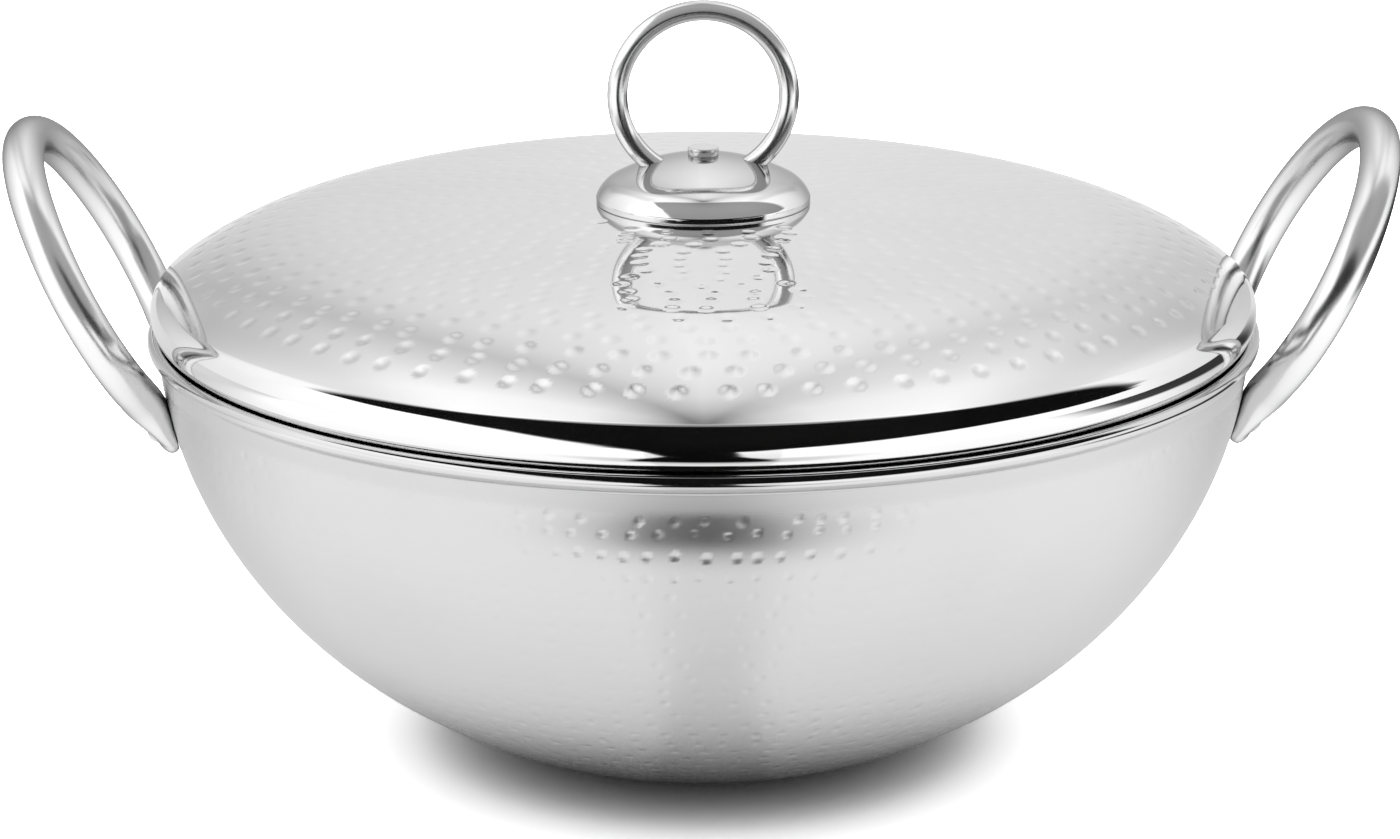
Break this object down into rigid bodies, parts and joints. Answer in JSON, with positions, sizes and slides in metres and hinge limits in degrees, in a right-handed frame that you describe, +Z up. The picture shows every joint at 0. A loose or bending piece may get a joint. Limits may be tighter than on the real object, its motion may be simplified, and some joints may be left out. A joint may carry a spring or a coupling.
{
  "type": "kadai",
  "caption": "Kadai: a deep round-bottomed steel pan with a hammered wall, a rolled rim, riveted rod loop handles and a loose domed lid with an open ring knob.",
  "frame": {"origin": "centre of the flat base, on the surface that the pan stands on", "axes": "+Z up through the knob, +X through the right handle, -Y towards the viewer of the picture"},
  "size_m": [0.3228, 0.26, 0.1776],
  "materials": {
    "hammered_steel": "polished, hammered in rings",
    "polished_steel": "mirror polished",
    "rivet_steel": "satin"
  },
  "bodies": {
    "pan": {"bowl": "hammered_steel", "handle_left": "polished_steel", "handle_right": "polished_steel", "rivet_left_front": "rivet_steel", "rivet_left_back": "rivet_steel", "rivet_right_front": "rivet_steel", "rivet_right_back": "rivet_steel"},
    "lid": {"lid": "hammered_steel", "knob_cap": "polished_steel", "knob_ring": "polished_steel", "knob_rivet": "rivet_steel", "knob_washer": "rivet_steel"}
  },
  "joints": [
    {"name": "lid_lift", "type": "slide", "parent": "pan", "child": "lid", "axis": [0, 0, 1], "range_m": [0, 0.12]}
  ]
}
